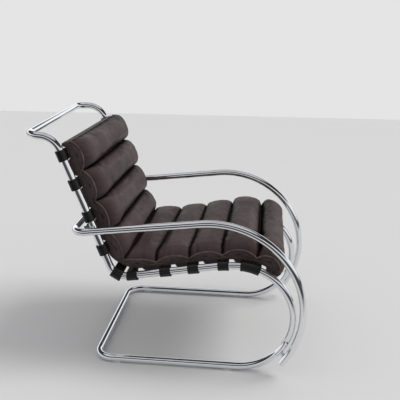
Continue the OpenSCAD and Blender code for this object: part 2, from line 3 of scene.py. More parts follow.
import bpy
import numpy as np
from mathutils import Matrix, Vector


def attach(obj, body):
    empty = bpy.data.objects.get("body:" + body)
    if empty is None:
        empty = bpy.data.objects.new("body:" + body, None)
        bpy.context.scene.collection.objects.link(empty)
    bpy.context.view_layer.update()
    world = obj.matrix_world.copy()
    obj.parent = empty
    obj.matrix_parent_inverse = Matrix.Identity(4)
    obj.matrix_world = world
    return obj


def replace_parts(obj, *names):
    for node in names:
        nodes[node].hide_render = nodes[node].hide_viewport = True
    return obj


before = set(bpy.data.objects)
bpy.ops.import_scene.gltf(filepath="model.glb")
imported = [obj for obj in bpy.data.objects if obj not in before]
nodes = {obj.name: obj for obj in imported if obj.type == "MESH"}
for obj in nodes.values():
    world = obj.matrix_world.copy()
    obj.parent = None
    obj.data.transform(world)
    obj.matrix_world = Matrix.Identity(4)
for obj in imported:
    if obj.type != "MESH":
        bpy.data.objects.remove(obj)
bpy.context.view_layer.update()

# The view is the photograph's: from the sitter's right, a little above the arms, through a long lens.
# The camera was fitted to the outlines of the tubes.
eye = Vector((-2.281, -0.355, 1.299))
view_turn = 0.1217
view_drop = 0.3194
look = Vector((math.cos(view_turn) * math.cos(view_drop), math.sin(view_turn) * math.cos(view_drop),
               -math.sin(view_drop)))


def add_object(name, data):
    """A new object in the scene."""
    item = bpy.data.objects.new(name, data)
    bpy.context.scene.collection.objects.link(item)
    return item


camera_data = bpy.data.cameras.new("camera")
camera_data.sensor_width = 36
camera_data.lens = 57.7
camera = add_object("camera", camera_data)
camera.location = eye
camera.rotation_euler = look.to_track_quat("-Z", "Y").to_euler()
bpy.context.scene.camera = camera
bpy.context.scene.view_settings.view_transform = "Standard"

# The base tube is one length of inch tube, chromed and polished. It is bent twice in plan at the rear
# and once upwards at each front end, where it butts against the seat tube. The sizes of the side
# outline that all three tubes share stand here too.
tube_r = 0.0127
glide_drop = 0.002
side_x = 0.287
floor_z = glide_drop + tube_r
base_l = 0.515
base_corner_r = 0.060
front_r = 0.195
joint_angle = math.radians(43)
arm_r = 0.314
arm_end_angle = math.radians(38)
arm_end = np.array([base_l + 0.1594, 0.0537])
end_chamfer = 0.0005
run_step = 0.03
bend_step = 1.5
chrome_tint = (0.83, 0.84, 0.86, 1)


def heading(angle):
    """Unit direction in the side outline: forwards and up."""
    return np.array([math.cos(angle), math.sin(angle)])


def above(angle):
    """Unit direction square to heading(angle), a quarter turn further round."""
    return np.array([-math.sin(angle), math.cos(angle)])


def trace(start, ahead, up, moves):
    """Follows a list of moves and gives centre points, directions and one cross direction of each ring.
    A run of length l is start + l * ahead. A bend of radius r and angle a towards a side t is
    start + r * sin(a) * ahead + r * (1 - cos(a)) * t, and the cross direction turns with it. A ring
    stands every 30 mm of a run and every 1.5 degrees of a bend."""
    point = np.array(start, float)
    ahead = np.array(ahead, float)
    up = np.array(up, float)
    points = []
    aheads = []
    ups = []
    for move in moves:
        if len(move) == 1:
            length = np.linspace(0, move[0], max(2, int(move[0] / run_step)))[:, None]
            new_points = point + length * ahead
            new_aheads = np.repeat(ahead[None], len(length), 0)
            new_ups = np.repeat(up[None], len(length), 0)
        else:
            radius, angle, towards = move
            towards = np.array(towards, float)
            across = np.cross(ahead, towards)
            a = np.linspace(0, angle, max(8, int(math.degrees(angle) / bend_step)))[:, None]
            new_points = point + radius * np.sin(a) * ahead + radius * (1 - np.cos(a)) * towards
            new_aheads = np.cos(a) * ahead + np.sin(a) * towards
            new_ups = up.dot(towards) * (np.cos(a) * towards - np.sin(a) * ahead) + up.dot(across) * across
        keep = slice(0 if not points else 1, None)
        points.append(new_points[keep])
        aheads.append(new_aheads[keep])
        ups.append(new_ups[keep])
        point = new_points[-1]
        ahead = new_aheads[-1]
        up = new_ups[-1]
    return np.concatenate(points), np.concatenate(aheads), np.concatenate(ups)


def rings_round(points, aheads, ups, radii, sides=56):
    """Rings of a swept tube: centre + r * (cos(a) * up + sin(a) * (ahead x up))."""
    across = np.cross(aheads, ups)
    a = np.linspace(0, 2 * np.pi, sides, endpoint=False)[None, :, None]
    return points[:, None] + radii[:, None, None] * (np.cos(a) * ups[:, None] + np.sin(a) * across[:, None])


def grid_faces(rows, columns, closed_rows=False, closed_columns=True):
    """Quads of a grid whose rows and columns may close on themselves."""
    row = np.arange(rows if closed_rows else rows - 1)[:, None]
    column = np.arange(columns if closed_columns else columns - 1)[None]
    next_row = (row + 1) % rows
    next_column = (column + 1) % columns
    corners = [row * columns + column, row * columns + next_column,
               next_row * columns + next_column, next_row * columns + column]
    return np.stack(corners, -1).reshape(-1, 4)


def shade_smooth(mesh):
    """Shades a mesh smooth, apart from edges that turn by more than 40 degrees."""
    mesh.polygons.foreach_set("use_smooth", np.ones(len(mesh.polygons), bool))
    mesh.set_sharp_from_angle(angle=math.radians(40))


def surface_mesh(name, rings, closed=False):
    """A closed mesh through rings of points. Open ends get a fan to their middle, and the faces
    are turned outwards by the sign of the enclosed volume."""
    rows, columns = rings.shape[:2]
    verts = rings.reshape(-1, 3)
    faces = grid_faces(rows, columns, closed)
    tris = np.concatenate([faces[:, [0, 1, 2]], faces[:, [0, 2, 3]]])
    fans = np.zeros((0, 3), int)
    if not closed:
        verts = np.concatenate([verts, rings[0].mean(0)[None], rings[-1].mean(0)[None]])
        i = np.arange(columns)
        j = (i + 1) % columns
        last = (rows - 1) * columns
        first_fan = np.stack([j, i, np.full(columns, rows * columns)], 1)
        last_fan = np.stack([last + i, last + j, np.full(columns, rows * columns + 1)], 1)
        fans = np.concatenate([first_fan, last_fan])
        tris = np.concatenate([tris, fans])
    corner = verts[tris]
    volume = np.einsum("ij,ij->i", corner[:, 0], np.cross(corner[:, 1], corner[:, 2])).sum()
    if volume < 0:
        faces = faces[:, ::-1]
        fans = fans[:, ::-1]
    mesh = bpy.data.meshes.new(name)
    mesh.from_pydata(verts.tolist(), [], faces.tolist() + fans.tolist())
    shade_smooth(mesh)
    return mesh


def join_meshes(name, meshes, material):
    """One object from several meshes, which rides on the chair's only body."""
    offset = 0
    verts = []
    faces = []
    for mesh in meshes:
        co = np.zeros(len(mesh.vertices) * 3, np.float32)
        mesh.vertices.foreach_get("co", co)
        verts.append(co.reshape(-1, 3))
        faces += [[v + offset for v in polygon.vertices] for polygon in mesh.polygons]
        offset += len(mesh.vertices)
    joined = bpy.data.meshes.new(name)
    joined.from_pydata(np.concatenate(verts).tolist(), [], faces)
    shade_smooth(joined)
    return make_piece(name, joined, material)


def make_piece(name, mesh, material):
    """A new piece from a mesh: one material and a ride on the body."""
    mesh.materials.append(material)
    piece = add_object(name, mesh)
    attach(piece, "root")
    return piece


def new_finish(name, color, metallic, roughness):
    """A material, its node tree and its Principled shader."""
    material = bpy.data.materials.new(name)
    material.use_nodes = True
    tree = material.node_tree
    shader = tree.nodes["Principled BSDF"]
    shader.inputs["Base Color"].default_value = color
    shader.inputs["Metallic"].default_value = metallic
    shader.inputs["Roughness"].default_value = roughness
    return material, tree, shader


def add_noise(tree, scale, detail):
    """Noise on the piece's own coordinates, in metres. scale is in waves a metre."""
    coordinates = tree.nodes.new("ShaderNodeTexCoord").outputs["Object"]
    noise = tree.nodes.new("ShaderNodeTexNoise")
    noise.inputs["Scale"].default_value = scale
    noise.inputs["Detail"].default_value = detail
    tree.links.new(coordinates, noise.inputs["Vector"])
    return noise.outputs["Fac"]


def remap(tree, value, low, high, from_low=0.0, from_high=1.0):
    """A straight map of a value from one range to another."""
    node = tree.nodes.new("ShaderNodeMapRange")
    node.inputs["From Min"].default_value = from_low
    node.inputs["From Max"].default_value = from_high
    node.inputs["To Min"].default_value = low
    node.inputs["To Max"].default_value = high
    tree.links.new(value, node.inputs["Value"])
    return node.outputs["Result"]


def add_bump(tree, shader, height, distance, strength=1.0):
    """Bump from a height of 0 to 1 that stands for a distance in metres."""
    bump = tree.nodes.new("ShaderNodeBump")
    bump.inputs["Distance"].default_value = distance
    bump.inputs["Strength"].default_value = strength
    tree.links.new(height, bump.inputs["Height"])
    tree.links.new(bump.outputs["Normal"], shader.inputs["Normal"])


def set_roughness(tree, shader, value, low, high, from_low=0.0, from_high=1.0):
    """Roughness that follows a value from low to high."""
    tree.links.new(remap(tree, value, low, high, from_low, from_high), shader.inputs["Roughness"])


def polished_chrome():
    """Mirror chrome with faint smears and the slight ripple of a buffed tube."""
    material, tree, shader = new_finish("polished_chrome", chrome_tint, 1.0, 0.07)
    smears = add_noise(tree, 22, 4)
    set_roughness(tree, shader, smears, 0.035, 0.13, 0.35, 0.75)
    ripple = add_noise(tree, 60, 2)
    add_bump(tree, shader, ripple, 0.00004, 0.4)
    return material


def mirrored_tube(name, node, centre, moves):
    """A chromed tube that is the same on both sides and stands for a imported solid. Half of it starts at
    a centre (forwards, up) in the middle of the chair and runs to the right, and its mirror image, in
    reverse, comes before it. Its two ends are lightly chamfered."""
    points, aheads, ups = trace((0, middle - centre[0], centre[1]), (-1, 0, 0), (0, 0, 1), moves)
    flip = np.array([-1, 1, 1])
    points = np.concatenate([points[:0:-1] * flip, points])
    aheads = np.concatenate([-aheads[:0:-1] * flip, aheads])
    ups = np.concatenate([ups[:0:-1] * flip, ups])
    points = np.concatenate([points[:1], points[:1] + aheads[:1] * end_chamfer, points[1:-1],
                             points[-1:] - aheads[-1:] * end_chamfer, points[-1:]])
    aheads = np.concatenate([aheads[:1], aheads, aheads[-1:]])
    ups = np.concatenate([ups[:1], ups, ups[-1:]])
    radii = np.full(len(points), tube_r)
    radii[[0, -1]] = tube_r - end_chamfer
    mesh = surface_mesh(name, rings_round(points, aheads, ups, radii))
    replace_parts(make_piece(name, mesh, chrome), node)


chrome = polished_chrome()
seat_pitch = math.radians(9.7)
crest_end = math.radians(2)
crest_r = 0.580
crest_run = 0.008
rail_l = 0.342
back_lean = math.radians(20.4)
upright_l = 0.479
back_corner_r = 0.060
handle_r = 0.075
handle_rise = math.radians(3)
handle_run = 0.003
handle_corner_r = 0.042
front_centre = np.array([base_l, floor_z + front_r])
crest_front = front_centre + front_r * above(crest_end)
crest_stop = crest_front - crest_run * heading(crest_end)
crest_centre = crest_stop - crest_r * above(crest_end)
crest_start = crest_centre + crest_r * above(seat_pitch)
back_corner = crest_start - rail_l * heading(seat_pitch)
up_angle = math.pi / 2 + back_lean
corner_turn = seat_pitch + math.pi / 2 - back_lean
corner_cut = back_corner_r * math.tan(corner_turn / 2)
upright_top = back_corner + upright_l * heading(up_angle)
handle_angle = math.pi - handle_rise
handle_end = upright_top + handle_r * (above(up_angle) - above(handle_angle))
handle_bar = handle_end + (handle_run + handle_corner_r) * heading(handle_angle)
arm_centre = arm_end - arm_r * heading(-arm_end_angle)
middle = (arm_centre[0] + arm_r + handle_bar[0]) / 2

base_moves = [
    (side_x - base_corner_r,),
    (base_corner_r, math.pi / 2, (0, -1, 0)),
    (base_l - base_corner_r,),
    (front_r, math.pi / 2 - joint_angle, (0, 0, 1)),
]
mirrored_tube("base_tube", "base_frame", (0, floor_z), base_moves)

# The seat tube is one length too: a grip bar at the top, two uprights, the rails under the seat, and
# the front curves, which it shares with the base tube. It is bent cold on a former and chromed.
seat_moves = [
    (side_x - handle_corner_r,),
    (handle_corner_r, math.pi / 2, (0, -math.cos(handle_rise), -math.sin(handle_rise))),
    (handle_run,),
    (handle_r, handle_angle - up_angle, (0, math.sin(handle_rise), -math.cos(handle_rise))),
    (upright_l - corner_cut,),
    (back_corner_r, corner_turn, (0, -math.cos(back_lean), math.sin(back_lean))),
    (rail_l - corner_cut,),
    (crest_r, seat_pitch - crest_end, (0, -math.sin(seat_pitch), -math.cos(seat_pitch))),
    (crest_run,),
    (front_r, math.pi / 2 + crest_end + joint_angle, (0, -math.sin(crest_end), -math.cos(crest_end))),
]
mirrored_tube("seat_tube", "seat_frame", handle_bar, seat_moves)

# The arm tube runs behind the uprights and then forwards beside them, and its long front curves end
# next to the seat tube. Its two open ends are closed with pressed-in plugs.
arm_gap = 0.0008
arm_x = side_x + 2 * tube_r + arm_gap
arm_pitch = math.radians(6.6)
arm_back = 0.072
arm_corner_r = 0.050
arm_front = arm_centre + arm_r * above(arm_pitch)
corner_to_arm = arm_front - back_corner
cross_up = np.cross(corner_to_arm, heading(arm_pitch)) / np.cross(heading(up_angle), heading(arm_pitch))
arm_l = np.linalg.norm(corner_to_arm - cross_up * heading(up_angle)) + arm_back
arm_rear = arm_front - arm_l * heading(arm_pitch)
arm_moves = [
    (arm_x - arm_corner_r,),
    (arm_corner_r, math.pi / 2, (0, -math.cos(arm_pitch), math.sin(arm_pitch))),
    (arm_l - arm_corner_r,),
    (arm_r, math.pi / 2 + arm_pitch + arm_end_angle, (0, -math.sin(arm_pitch), -math.cos(arm_pitch))),
]
mirrored_tube("arm_tube", "arm_hoop", arm_rear, arm_moves)

# Turned and milled fittings hold the three tubes together. Bushes, plugs and brackets are chromed,
# and the sleeves and studs inside are plain steel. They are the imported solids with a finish.


def marked_finish(name, color, metallic, roughness, noise, rough_range, depth):
    """A finish with fine marks: noise of a scale and detail that varies the roughness over a range and
    bumps the surface by a depth in metres."""
    material, tree, shader = new_finish(name, color, metallic, roughness)
    marks = add_noise(tree, *noise)
    set_roughness(tree, shader, marks, *rough_range)
    add_bump(tree, shader, marks, depth)
    return material


def dress(node, material):
    """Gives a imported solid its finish."""
    mesh = nodes[node].data
    mesh.materials.clear()
    mesh.materials.append(material)


steel = marked_finish("turned_steel", (0.42, 0.42, 0.43, 1), 1.0, 0.35, (900, 3), (0.25, 0.5), 0.00003)
black = marked_finish("blackened_steel", (0.03, 0.03, 0.034, 1), 0.9, 0.4, (700, 4), (0.25, 0.55), 0.00004)
for node in ["arm_front_bushes", "arm_end_plugs", "left_arm_bracket", "right_arm_bracket"]:
    dress(node, chrome)
for node in ["left_joint_sleeve", "right_joint_sleeve", "arm_front_studs"]:
    dress(node, steel)
dress("arm_bracket_screws", black)

# Each sleeve is pinned by a small grub screw from the outer side of the front curve. Only its round
# face and key socket show, level with the chrome.
grub_r = 0.003
grub_offset = 0.062
grub_rise = 0.0005
socket_share = 0.5
socket_floor = 0.0001
grub_at = joint_angle - grub_offset / front_r


def lathe(profile, centre, axis, sides=24):
    """A turned shape: profile rows are (distance along the axis, radius)."""
    axis = np.array(axis, float)
    helper = np.array([0.0, 0.0, 1.0]) if abs(axis[2]) < 0.9 else np.array([0.0, 1.0, 0.0])
    up = np.cross(axis, helper)
    up /= np.linalg.norm(up)
    profile = np.array(profile, float)
    points = np.array(centre, float) + profile[:, :1] * axis
    aheads = np.repeat(axis[None], len(profile), 0)
    ups = np.repeat(up[None], len(profile), 0)
    return rings_round(points, aheads, ups, profile[:, 1], sides)


grub_profile = [(0, grub_r), (tube_r + grub_rise * 0.4, grub_r), (tube_r + grub_rise, grub_r * 0.85),
                (tube_r + grub_rise, grub_r * 0.52), (tube_r + socket_floor, grub_r * socket_share)]
grub_centre = front_centre + front_r * heading(-grub_at)
grub_meshes = []
for side in (-1, 1):
    centre = (side * side_x, middle - grub_centre[0], grub_centre[1])
    grub_meshes.append(surface_mesh("grub", lathe(grub_profile, centre, (side, 0, 0))))
grub_screws = join_meshes("grub_screws", grub_meshes, black)
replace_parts(grub_screws, "joint_grub_screws")

# Four milky nylon glides are snapped under the base rails and keep the chrome off the floor. They let
# a little light through and are rough where they rub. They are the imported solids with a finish.
nylon = marked_finish("milky_nylon", (0.62, 0.63, 0.61, 1), 0.0, 0.4, (400, 4), (0.3, 0.6), 0.00004)
nylon_inputs = nylon.node_tree.nodes["Principled BSDF"].inputs
nylon_inputs["Subsurface Weight"].default_value = 0.3
nylon_inputs["Subsurface Radius"].default_value = (0.002, 0.002, 0.002)
nylon_inputs["Subsurface Scale"].default_value = 1.0
for node in ["front_left_glide", "front_right_glide", "rear_left_glide", "rear_right_glide"]:
    dress(node, nylon)

# Ten straps of thick black leather run across the chair. Each goes over both side tubes, round them,
# and back under itself, where two studs hold its end. The loops round the tubes are a little loose.
strap_t = 0.0025
strap_gap = 0.0003
strap_w = 0.038
front_strap_w = 0.068
back_slack = 0.0035
corner_slack = 0.0065
seat_slacks = [0.0027, 0.0020, 0.0024, 0.0012, 0.0022]
loop_skew = 0.0012
corner_stiffness = 0.8
corner_lift = 0.003
edge_curl = 0.0003
tail_l = 0.062
tail_gap = 0.0002
turn_start = 0.001
turn_run = 0.009
turn_share = 0.6
strap_spacing = 0.0022
flat_columns = 9
round_columns = 7
bracket_h = 0.012
strap_clear = 0.003
stud_in = 0.048
stud_pitch = 0.020
strap_mid = tube_r + strap_gap + strap_t / 2


def way_round(corner_r):
    """The path down the upright and along the seat, as rows of length, start, angle and radius.
    A bend towards the cushion has a radius above zero, and a straight stretch has none."""
    cut = corner_r * math.tan(corner_turn / 2)
    return [
        (upright_l - cut, upright_top, up_angle - math.pi, 0),
        (corner_r * corner_turn, back_corner + cut * heading(up_angle), up_angle - math.pi, corner_r),
        (rail_l - cut, back_corner + cut * heading(seat_pitch), seat_pitch, 0),
        (crest_r * (seat_pitch - crest_end), crest_start, seat_pitch, -crest_r),
        (crest_run, crest_stop, crest_end, 0),
        (front_r * (math.pi / 2 + crest_end + joint_angle), crest_front, crest_end, -front_r),
    ]


def starts_of(way):
    """Path length at which each stretch starts."""
    return np.concatenate([[0], np.cumsum([row[0] for row in way])[:-1]])


def follow(way, t, n, x):
    """Points at length t along a path, n above the tube's centre, and x across the chair. On a bend
    of radius r the point is start + r * (above(start angle) - above(angle)) + n * above(angle)."""
    starts = starts_of(way)
    t, n, x = np.broadcast_arrays(t, n, x)
    i = np.clip(np.searchsorted(starts, t, side="right") - 1, 0, len(way) - 1)
    begin = np.array([row[1] for row in way])[i]
    angle0 = np.array([row[2] for row in way])[i]
    radius = np.array([float(row[3]) for row in way])[i]
    u = t - starts[i]
    bent = radius != 0
    angle = angle0 + np.where(bent, u / np.where(bent, radius, 1), 0)
    run = np.where(bent, 0, u)
    s = begin[..., 0] + run * np.cos(angle0) + radius * (np.sin(angle) - np.sin(angle0)) - n * np.sin(angle)
    z = begin[..., 1] + run * np.sin(angle0) - radius * (np.cos(angle) - np.cos(angle0)) + n * np.cos(angle)
    return np.stack([x, middle - s, z], -1)


def even_line(points, spacing, passes, spare=0, closed=False):
    """The same line through evenly spaced points, length / spacing of them and a few spare. Its corners
    are eased by averaging each point with its neighbours. A closed line keeps no end."""
    if closed:
        points = np.concatenate([points, points[:1]])
    length = np.concatenate([[0], np.cumsum(np.linalg.norm(np.diff(points, axis=0), axis=1))])
    even = np.linspace(0, length[-1], int(length[-1] / spacing) + spare, endpoint=not closed)
    line = np.stack([np.interp(even, length, points[:, k]) for k in range(points.shape[1])], 1)
    eased = slice(None) if closed else slice(1, -1)
    for _ in range(passes):
        line[eased] = ((np.roll(line, 1, 0) + 2 * line + np.roll(line, -1, 0)) / 4)[eased]
    return line


def strap_line(slack):
    """The middle of a strap seen end on, as (across, up): over the tube, round its outer side, under it
    by the slack, up its inner side, and inwards under the web to the end."""
    quarter = np.linspace(np.pi / 2, 0, 12)
    half = np.linspace(0, -np.pi, 24)
    outer = np.stack([side_x + strap_mid * np.cos(quarter), strap_mid * np.sin(quarter)], 1)
    under = np.stack([side_x + strap_mid * np.cos(half), -slack + strap_mid * np.sin(half)], 1)
    web = np.array([[side_x * share, strap_mid] for share in (0, 0.5, 0.95)])
    inner_x = side_x - strap_mid
    below = strap_mid - strap_t - tail_gap
    end = np.array([[inner_x, -turn_start], [inner_x - turn_start, below * turn_share],
                    [inner_x - turn_run, below], [side_x - tail_l, below]])
    return even_line(np.concatenate([web, outer, under, end]), strap_spacing, 3, 2)


def strap_rings(t, width, slack, skew, stiff):
    """A strap as rings round its own thickness: the line above is swept by a flat section with round
    edges, and every point is carried onto the path of the tube. skew lets the loop hang lower in front.
    stiff is the share by which the strap keeps straight where the tube bends."""
    half = strap_line(slack)
    line = np.concatenate([half[:0:-1] * [-1, 1], half])
    tangent = np.gradient(line, axis=0)
    tangent /= np.linalg.norm(tangent, axis=1)[:, None]
    outward = np.stack([-tangent[:, 1], tangent[:, 0]], 1)
    r = strap_t / 2
    flat = np.linspace(-1, 1, flat_columns) * (width / 2 - r)
    bend = np.linspace(np.pi / 2, -np.pi / 2, round_columns)[1:-1]
    rounded = width / 2 - r + r * np.cos(bend)
    along = np.concatenate([flat, rounded, flat[::-1], -rounded])
    level = np.full(flat_columns, r)
    offset = np.concatenate([level, r * np.sin(bend), -level, -r * np.sin(bend)])
    curl = edge_curl * (2 * along / width) ** 2
    x = line[:, None, 0] + outward[:, None, 0] * (offset + curl)[None]
    n = line[:, None, 1] + outward[:, None, 1] * (offset + curl)[None]
    hang = np.clip(-line[:, 1] / (strap_mid + slack), 0, 1)[:, None]
    n = n - skew * hang * (0.5 + along[None] / width)
    bent = follow(tube_way, t + along[None] + 0 * x, n, x)
    lift = stiff * corner_lift * np.clip(n / strap_mid, 0, 1)
    step = 0.0005
    ahead = (follow(tube_way, t + step, 0.0, 0.0) - follow(tube_way, t - step, 0.0, 0.0)) / (2 * step)
    straight = follow(tube_way, t + 0 * x, n + lift, x) + (along[None] + 0 * x)[..., None] * ahead
    return stiff * straight + (1 - stiff) * bent


def blend(tree, factor, first, second, blend_type="MIX"):
    """A colour mix of two sockets or fixed colours by a factor."""
    node = tree.nodes.new("ShaderNodeMix")
    node.data_type = "RGBA"
    node.blend_type = blend_type
    for name, value in [("Factor", factor), ("A", first), ("B", second)]:
        if isinstance(value, (float, tuple)):
            node.inputs[name].default_value = value
        else:
            tree.links.new(value, node.inputs[name])
    return node.outputs["Result"]


def strap_leather():
    """Thick black leather with a low gloss, a fine grain, and browner worn places."""
    material, tree, shader = new_finish("strap_leather", (0.009, 0.0075, 0.0075, 1), 0.0, 0.3)
    shader.inputs["Specular IOR Level"].default_value = 0.36
    shader.inputs["Coat Weight"].default_value = 0.1
    shader.inputs["Coat Roughness"].default_value = 0.2
    coordinates = tree.nodes.new("ShaderNodeTexCoord").outputs["Object"]
    grain = tree.nodes.new("ShaderNodeTexVoronoi")
    grain.inputs["Scale"].default_value = 900
    tree.links.new(coordinates, grain.inputs["Vector"])
    add_bump(tree, shader, grain.outputs["Distance"], 0.00012, 0.8)
    wear = add_noise(tree, 60, 5)
    set_roughness(tree, shader, wear, 0.22, 0.5, 0.3, 0.7)
    worn = blend(tree, wear, (0.0035, 0.003, 0.003, 1), (0.009, 0.007, 0.0065, 1))
    tree.links.new(worn, shader.inputs["Base Color"])
    return material


back_strap_shares = [0.965, 0.53, 0.464]
seat_strap_shares = [0.185, 0.532, 0.82, 1.125]
front_strap_share = 0.16
tube_way = way_round(back_corner_r)
black_leather = strap_leather()
bracket_up = tube_r / math.cos(back_lean + arm_pitch) + bracket_h / 2
over_bracket = cross_up + bracket_up + bracket_h / 2 + strap_clear + strap_w / 2
corner_mid = starts_of(tube_way)[1] + tube_way[1][0] / 2
seat_zero = starts_of(tube_way)[2] - corner_cut
top_strap_up = upright_l * back_strap_shares[0]
second_strap_up = over_bracket + (top_strap_up - over_bracket) * back_strap_shares[1]
front_strap_at = starts_of(tube_way)[5] + front_strap_share * front_r * math.pi / 2
back_ups = [top_strap_up, second_strap_up, over_bracket, over_bracket * back_strap_shares[2]]
straps = [("back_strap_%d" % (k + 1), upright_l - up, strap_w, back_slack) for k, up in enumerate(back_ups)]
straps.append(("corner_strap", corner_mid, strap_w, corner_slack))
for k, share in enumerate(seat_strap_shares):
    straps.append(("seat_strap_%d" % (k + 1), seat_zero + rail_l * share, strap_w, seat_slacks[k]))
straps.append(("seat_strap_5", front_strap_at, front_strap_w, seat_slacks[4]))
for name, t, width, slack in straps:
    skew = 0.0 if name.startswith("back") else loop_skew
    stiff = corner_stiffness if name == "corner_strap" else 0.0
    mesh = surface_mesh(name + "_leather", strap_rings(t, width, slack, skew, stiff))
    strap = make_piece(name + "_leather", mesh, black_leather)
    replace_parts(strap, name)

# Two domed studs of dull nickel hold each strap end from below. They go through both layers of the
# strap, and only their heads show.
stud_r = 0.0045
stud_edge = 0.0006
stud_dome = 0.0010
stud_gap = 0.0001


def stud_mesh(t, x):
    """A domed stud head under a strap end: its height falls as the square of its radius."""
    share = np.linspace(1, 0.05, 8)[:, None]
    a = np.linspace(0, 2 * np.pi, 20, endpoint=False)[None]
    top = strap_mid - 1.5 * strap_t - stud_gap
    height = np.concatenate([[0.0], stud_edge + stud_dome * (1 - share[:, 0] ** 2)])[:, None]
    radius = stud_r * np.concatenate([share[:1], share])
    rings = follow(tube_way, t + radius * np.cos(a), top - height, x + radius * np.sin(a))
    return surface_mesh("stud", rings)


nickel = marked_finish("dull_nickel", (0.36, 0.35, 0.33, 1), 1.0, 0.35, (600, 5), (0.22, 0.5), 0.00004)
for group, chosen in [("back", straps[:5]), ("seat", straps[5:])]:
    heads = []
    for row in chosen:
        for u in (-1, 1):
            for side in (-1, 1):
                heads.append(stud_mesh(row[1] + u * stud_pitch / 2, side * (side_x - stud_in)))
    studs = join_meshes(group + "_studs", heads, nickel)
    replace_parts(studs, group + "_strap_studs")

# The cushion's lower layer is a long bag of soft brown leather over a flat filling. It lies on the
# straps, sags a little between them, and rounds the rear corner more gently than the tubes do.
pad_t = 0.028
pad_low = strap_mid + strap_t / 2 + 0.0003
pad_top = pad_low + pad_t
roll_low = pad_top + 0.0003
cushion_corner_r = 0.112
corner_roll_l = 0.155
roll_pitch = 0.113
seat_corner_l = 0.160
top_roll_l = 0.109
front_roll_l = 0.101
top_loft = 0.074
back_loft = 0.068
back_rise_shares = [1, 1, 0.15, 0]
seat_loft = 0.056
front_loft = 0.072
seat_rise_shares = [0, -0.28, -0.22, 0.48, 1]
tuck_h = 0.005
mean_top = 0.0778
front_seam_shift = 0.006
cushion_mid = (pad_low + mean_top) / 2
cushion_way = way_round(cushion_corner_r)
cushion_starts = starts_of(cushion_way)
seat_from = cushion_starts[2] - cushion_corner_r * math.tan(corner_turn / 2)
seat_mark_2 = rail_l + (crest_r + cushion_mid) * (seat_pitch - crest_end)
seat_mark_3 = seat_mark_2 + crest_run


def seat_way(m):
    """Path length of a place m along the seat, measured at half the cushion's thickness."""
    if m <= rail_l:
        return seat_from + m
    if m <= seat_mark_2:
        return cushion_starts[3] + (m - rail_l) * crest_r / (crest_r + cushion_mid)
    if m <= seat_mark_3:
        return cushion_starts[4] + m - seat_mark_2
    return cushion_starts[5] + (m - seat_mark_3) * front_r / (front_r + cushion_mid)


back_end = upright_l - (corner_roll_l + 2 * roll_pitch + top_roll_l)
seams = [back_end]
seams += [back_end + top_roll_l + k * roll_pitch for k in range(3)]
seams += [cushion_starts[1] + cushion_way[1][0] / 2]
seams += [seat_way(seat_corner_l + k * roll_pitch) for k in range(4)]
seams += [seat_way(seat_corner_l + 3 * roll_pitch + front_roll_l)]
seams = np.array(seams)
seams[8] += front_seam_shift
skews = [0.028, 0.033, 0.030, 0.026, 0.024, 0.034, 0.014, 0.0, -0.010, -0.018]
end_sinks = [0.011, 0.013, 0.014, 0.015, 0.018, 0.019, 0.019, 0.019, 0.018, 0.017]
sink_reach = 0.045
sink_power = 1.8
roll_half_w = 0.2685


def askew(t, x):
    """The cushion lies a little askew: its right side is up to 9 mm higher on the back, and up to 5 mm
    further forward at the front."""
    return t + np.interp(t, seams, skews) * x


def lay_cushion(t, n, x):
    """Carries the cushion onto its path. Its seams and the top of its lower layer sink towards each side
    as the 1.8th power of the share of the last 45 mm."""
    share = np.clip(1 - (roll_half_w - np.abs(x)) / sink_reach, 0, 1) ** sink_power
    sink = np.interp(t, seams, end_sinks) * share * np.clip((n - pad_low) / pad_t, 0, 1)
    return follow(cushion_way, askew(t, x), n - sink, x)


def waves(value, lengths, heights, phases):
    """A sum of sines with the given wave lengths, heights and phases."""
    total = 0
    for length, height, phase in zip(lengths, heights, phases):
        total = total + height * np.sin(2 * np.pi * value / length + phase)
    return total


def drifting_color(tree, value, low_at, low_color, high_at, high_color, between=()):
    """A colour that goes from one to another while a value rises from low_at to high_at, by way of any
    colours between, which are rows of a value and its colour."""
    ramp = tree.nodes.new("ShaderNodeValToRGB")
    low, high = ramp.color_ramp.elements
    low.position = low_at
    low.color = low_color
    high.position = high_at
    high.color = high_color
    for position, color in between:
        ramp.color_ramp.elements.new(position).color = color
    tree.links.new(value, ramp.inputs["Fac"])
    return ramp.outputs["Color"]


def cushion_leather():
    """Soft dark brown leather: a pebbled grain about a millimetre across over finer noise, and a colour
    that drifts between two browns. An attribute of painted shade darkens it and dulls its gloss in the
    seams, towards the roll ends and along the welts."""
    material, tree, shader = new_finish("cushion_leather", (0.058, 0.036, 0.033, 1), 0.0, 0.42)
    grain = tree.nodes.new("ShaderNodeTexVoronoi")
    grain.feature = "SMOOTH_F1"
    grain.inputs["Scale"].default_value = 750
    grain.inputs["Smoothness"].default_value = 0.6
    tree.links.new(tree.nodes.new("ShaderNodeTexCoord").outputs["Object"], grain.inputs["Vector"])
    fine = add_noise(tree, 260, 5)
    both = tree.nodes.new("ShaderNodeMath")
    both.operation = "MULTIPLY_ADD"
    both.inputs[1].default_value = 0.55
    tree.links.new(grain.outputs["Distance"], both.inputs[0])
    tree.links.new(fine, both.inputs[2])
    add_bump(tree, shader, both.outputs["Value"], 0.00022, 0.7)
    drift = add_noise(tree, 9, 4)
    brown = drifting_color(tree, drift, 0.32, (0.043, 0.028, 0.027, 1), 0.72, (0.076, 0.053, 0.052, 1))
    attribute = tree.nodes.new("ShaderNodeAttribute")
    attribute.attribute_name = "painted_shade"
    painted_shade = attribute.outputs["Fac"]
    # Painted shade: the attribute blends the brown towards near black, and below it dulls the gloss.
    shaded_brown = blend(tree, painted_shade, brown, (0.003, 0.002, 0.002, 1))
    tree.links.new(shaded_brown, shader.inputs["Base Color"])
    gloss = add_noise(tree, 35, 3)
    set_roughness(tree, shader, gloss, 0.46, 0.6, 0.3, 0.7)
    tree.links.new(remap(tree, painted_shade, 0.32, 0.04), shader.inputs["Specular IOR Level"])
    return material


